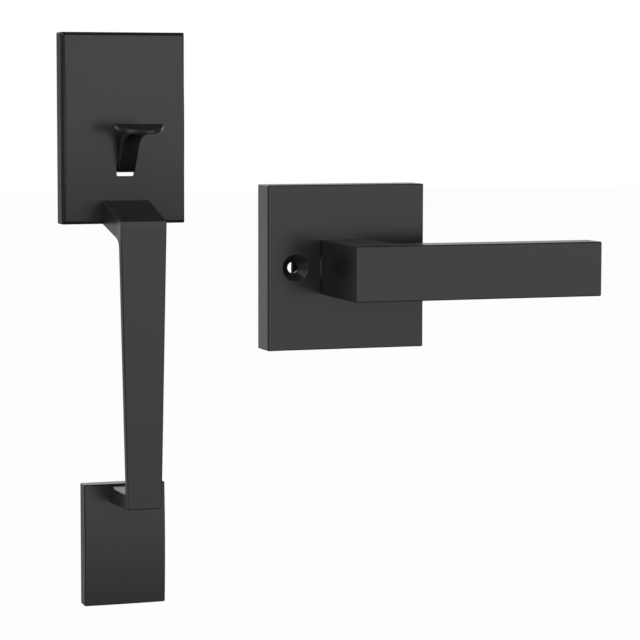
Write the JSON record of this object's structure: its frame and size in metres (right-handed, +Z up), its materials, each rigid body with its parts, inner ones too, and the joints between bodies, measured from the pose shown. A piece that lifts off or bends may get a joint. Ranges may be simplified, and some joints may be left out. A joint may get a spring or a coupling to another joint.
{
  "type": "entry door handleset",
  "caption": "Entry door handleset: an outside grip with a thumb latch on a stepped plate, and an inside lever on a square rosette, side by side.",
  "frame": {"origin": "on the outside half's spindle axis, where it meets the door face, midway between the two threaded bushes", "axes": "+X to the right as seen from the front of either half, +Y into the door, +Z up"},
  "size_m": [0.2398, 0.112, 0.2596],
  "materials": {
    "black_coat": "satin",
    "zinc_plated_steel": "satin",
    "black_steel": "satin",
    "spring_steel": "satin"
  },
  "bodies": {
    "set": {"upper_escutcheon": "black_coat", "thumb_pivot_pin": "zinc_plated_steel", "mounting_plate": "black_steel", "bolt_bushes": "zinc_plated_steel", "plate_screws": "zinc_plated_steel", "guide_pins": "zinc_plated_steel", "lift_spring": "spring_steel", "grip": "black_coat", "grip_screws": "zinc_plated_steel", "lower_escutcheon": "black_coat", "lower_post": "zinc_plated_steel", "rosette": "black_coat", "rosette_bush": "black_steel", "cassette_housing": "black_steel", "cassette_screws": "zinc_plated_steel", "return_spring": "spring_steel"},
    "thumb": {"thumbpiece": "black_coat"},
    "bar": {"lift_bar": "black_steel"},
    "rotor": {"latch_rotor": "black_steel", "rotor_clip": "spring_steel", "spindle": "zinc_plated_steel"},
    "handle": {"lever": "black_coat", "return_cam": "black_steel", "retaining_ring": "spring_steel", "lever_set_screw": "spring_steel"}
  },
  "joints": [
    {"name": "thumb_press", "type": "hinge", "parent": "set", "child": "thumb", "pos_m": [0, -0.0065, -0.0196], "axis": [1, 0, 0], "range_deg": [0, 15], "stiffness_Nm_per_rad": 0.25, "springref_deg": -14.9},
    {"name": "bar_slide", "type": "slide", "parent": "set", "child": "bar", "axis": [0, 0, 1], "range_m": [0, 0.00442], "deforming": ["lift_spring"]},
    {"name": "rotor_turn", "type": "hinge", "parent": "set", "child": "rotor", "pos_m": [0, 0, 0], "axis": [0, 1, 0], "range_deg": [-28.44, 0]},
    {"name": "lever_turn", "type": "hinge", "parent": "set", "child": "handle", "pos_m": [0.104, 0, -0.067], "axis": [0, 1, 0], "range_deg": [-50, 50], "stiffness_Nm_per_rad": 2, "springref_deg": -5.73, "deforming": ["return_spring"]}
  ],
  "couplings": [
    {"joint": "bar_slide", "follows": "thumb_press", "m_per_rad": 0.016888},
    {"joint": "rotor_turn", "follows": "thumb_press", "ratio": -1.8958}
  ]
}
